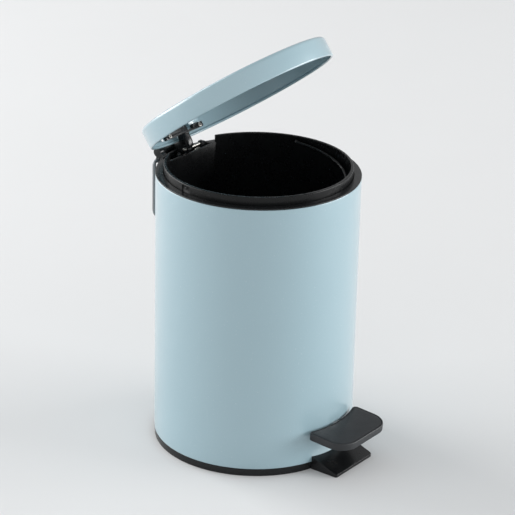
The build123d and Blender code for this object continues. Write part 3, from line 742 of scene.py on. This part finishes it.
# ---- wires ----
def carry_wire():
    """The wire handle that hangs behind the body."""
    low, high = span("carry_handle")
    radius = (high.y - low.y) / 2
    side = high.x - radius
    pivot = Vector(joint("handle_swing")["pos_m"]) / MM
    y, top, bottom = pivot.y, pivot.z, low.z + radius
    inner, bend, corner = 15.2, 2.4, 9.0
    return wire("carry_wire", bent_path([
        (inner, y, top, 0), (side, y, top, bend), (side, y, bottom, corner), (-side, y, bottom, corner),
        (-side, y, top, bend), (-inner, y, top, 0)]), radius)


def rod_wire():
    """The lift rod: hook below, long upright, and a return bend into the crank pin above."""
    low, high = span("lift_rod")
    radius = (high.y - low.y) / 2
    y = (low.y + high.y) / 2
    pin_z, hook_z = high.z - radius, low.z + radius
    loop, hook_bend, top_bend = 2.0, 3.0, 2.4
    outer, upright, crank_end = high.x - radius, 12.5, -3.6
    return_z, return_bend = pin_z - 2 * loop, loop - 0.01
    return wire("rod_wire", bent_path([
        (low.x, y, hook_z, 0), (upright, y, hook_z, hook_bend), (upright, y, return_z, top_bend),
        (outer, y, return_z, return_bend), (outer, y, pin_z, return_bend), (crank_end, y, pin_z, 0)]), radius)


def bail_wire():
    """The liner's wire handle, lying forward just below the rim."""
    low, high = span("liner_bail")
    pivot = Vector(joint("bail_swing")["pos_m"]) / MM
    radius, drop = 1.1, math.radians(6)
    hoop, bend = 71.2, 2.2
    corner_x = math.sqrt(hoop ** 2 - pivot.y ** 2)
    start = math.atan2(pivot.y, -corner_x)
    sweep = TURN / 2 + 2 * (math.pi - start)
    arc_steps, skip = 72, 3
    angles = [start + sweep * k / arc_steps for k in range(skip, arc_steps - skip + 1)]
    points = [(low.x, pivot.y, 0, 0), (-corner_x, pivot.y, 0, bend)]
    points += [(hoop * math.cos(t), hoop * math.sin(t), 0, 0) for t in angles]
    points += [(corner_x, pivot.y, 0, bend), (high.x, pivot.y, 0, 0)]
    lay = Matrix.Rotation(drop, 3, "X")
    origin = Vector((0, pivot.y, 0))
    place = Vector((0, pivot.y, pivot.z))
    return wire("bail_wire", [lay @ (p - origin) + place for p in bent_path(points)], radius, sides=20)


# ---- CAD nodes rebuilt with softened edges ----
def softened(node, width):
    """A copy of a CAD node's mesh with its flat faces merged and its edges rounded."""
    bm = bmesh.new()
    bm.from_mesh(frame["nodes"][node].data)
    same_point, flat_within = 0.002 * MM, math.radians(1.0)
    bmesh.ops.remove_doubles(bm, verts=bm.verts, dist=same_point)
    bmesh.ops.dissolve_limit(bm, angle_limit=flat_within, verts=bm.verts, edges=bm.edges)
    bmesh.ops.scale(bm, vec=(1 / MM, 1 / MM, 1 / MM), verts=bm.verts)
    piece = new_mesh_object(node + "_soft", bm)
    return shade(soften(piece, width, angle=30))


def dress_cad_nodes():
    """Every CAD node that stays visible gets the material of its slot."""
    for row in frame["record"]["subparts"]:
        piece = frame["nodes"][row["node"]]
        if piece.hide_render:
            continue
        piece.data.materials.clear()
        piece.data.materials.append(FOR_SLOT[row["material_slot"]])


# ---- stage ----
WORLD_AROUND = 0.50
WORLD_FRONT = 0.97
WORLD_COLOUR = (0.98, 0.99, 1.0, 1)
# name, (ahead, across, height) in metres, size in metres, power in watts
LIGHTS = (
    ("key", (1.1, -1.5, 1.7), (0.8, 0.8), 12.0),
    ("right", (0.0, 4.4, 0.9), (3.6, 1.8), 205.0),
    ("left", (0.0, -4.4, 1.2), (3.2, 2.4), 112.0),
    ("left_back", (2.2, -3.8, 1.2), (2.8, 2.4), 84.0),
)
TARGET = Vector((0, 0, 0.16))
FLOOR_RADIUS = 9000
HEADING = math.radians(53.196)
FORWARD = Vector((math.sin(HEADING), math.cos(HEADING), 0))
RIGHT = Vector((math.cos(HEADING), -math.sin(HEADING), 0))
CAMERA_PLACE = Vector((-1.3943, -1.0440, 0.8882))
CAMERA_PITCH = math.radians(22.704)
CAMERA_ROLL = math.radians(1.298)
CAMERA_LENS = 159.7
CAMERA_SENSOR = 36


def studio_floor():
    """A wide round floor."""
    bm = bmesh.new()
    bmesh.ops.create_circle(bm, cap_ends=True, segments=96, radius=FLOOR_RADIUS)
    floor = new_mesh_object("studio_floor", bm)
    floor.data.materials.append(floor_paper())


def add_camera():
    """The camera, by its heading, pitch and roll."""
    look = FORWARD * math.cos(CAMERA_PITCH) - Vector((0, 0, 1)) * math.sin(CAMERA_PITCH)
    up = RIGHT.cross(look)
    tilted_right = RIGHT * math.cos(CAMERA_ROLL) + up * math.sin(CAMERA_ROLL)
    tilted_up = up * math.cos(CAMERA_ROLL) - RIGHT * math.sin(CAMERA_ROLL)
    data = bpy.data.cameras.new("camera")
    data.lens = CAMERA_LENS
    data.sensor_width = CAMERA_SENSOR
    camera = bpy.data.objects.new("camera", data)
    axes = Matrix((tilted_right, tilted_up, -look)).transposed().to_4x4()
    camera.matrix_world = Matrix.Translation(CAMERA_PLACE) @ axes
    bpy.context.scene.collection.objects.link(camera)
    bpy.context.scene.camera = camera


def soft_box(name, ahead, across, height, size, power):
    """An area light placed by its distance ahead of, across from and above the object, seen from the front."""
    data = bpy.data.lights.new(name, "AREA")
    data.shape = "RECTANGLE"
    data.size, data.size_y = size
    data.energy = power
    light = bpy.data.objects.new(name, data)
    place = FORWARD * ahead + RIGHT * across + Vector((0, 0, height))
    aim = (TARGET - place).to_track_quat("-Z", "Y").to_matrix().to_4x4()
    light.matrix_world = Matrix.Translation(place) @ aim
    light.visible_camera = False
    bpy.context.scene.collection.objects.link(light)


def studio_world():
    """A pale room all round that is brighter in front of the object."""
    world = bpy.data.worlds.new("studio")
    world.use_nodes = True
    tree = world.node_tree
    background = tree.nodes["Background"]
    background.inputs["Color"].default_value = WORLD_COLOUR
    place = tree.nodes.new("ShaderNodeTexCoord")
    facing = tree.nodes.new("ShaderNodeVectorMath")
    facing.operation = "DOT_PRODUCT"
    facing.inputs[1].default_value = -FORWARD
    share = tree.nodes.new("ShaderNodeMapRange")
    share.interpolation_type = "SMOOTHSTEP"
    limits = (("From Min", 0.0), ("From Max", 0.9), ("To Min", WORLD_AROUND), ("To Max", WORLD_FRONT))
    for key, number in limits:
        share.inputs[key].default_value = number
    tree.links.new(place.outputs["Generated"], facing.inputs[0])
    tree.links.new(facing.outputs["Value"], share.inputs["Value"])
    tree.links.new(share.outputs["Result"], background.inputs["Strength"])
    bpy.context.scene.world = world


def studio_light():
    """The room's light and the soft boxes, shown without a film curve."""
    studio_world()
    bpy.context.scene.view_settings.view_transform = "Standard"
    for name, place, size, power in LIGHTS:
        soft_box(name, *place, size, power)


# ---- putting it together ----
MADE = (
    (body_can, "body", "painted_steel", "outer_body"),
    (base_foot, "body", "black_moulding", "base"),
    (pivot_posts, "body", "black_moulding", "base"),
    (collar_ring, "body", "black_moulding", "collar"),
    (liner_bucket, "body", "liner_moulding", "liner"),
    (lid_pan, "lid", "painted_steel", "lid_shell"),
    (pedal_tread, "pedal", "pedal_moulding", "pedal_pad"),
    (carry_wire, "handle", "handle_wire", "carry_handle"),
    (rod_wire, "rod", "plated_steel", "lift_rod"),
    (bail_wire, "bail", "liner_moulding", "liner_bail"),
)
SOFTENED = (
    ("hinge_housing", 0.3, "body", "black_moulding"),
    ("lid_bracket", 0.3, "lid", "black_moulding"),
    ("lid_strap", 0.2, "lid", "painted_steel"),
    ("rod_top_clip", 0.2, "rod", "black_moulding"),
    ("pedal_lever", 0.25, "pedal", "plated_steel"),
)
for make, body, slot, node in MADE:
    present(make(), body, slot, node)
for node, width, body, slot in SOFTENED:
    present(softened(node, width), body, slot, node)
dress_cad_nodes()

studio_floor()
add_camera()
studio_light()
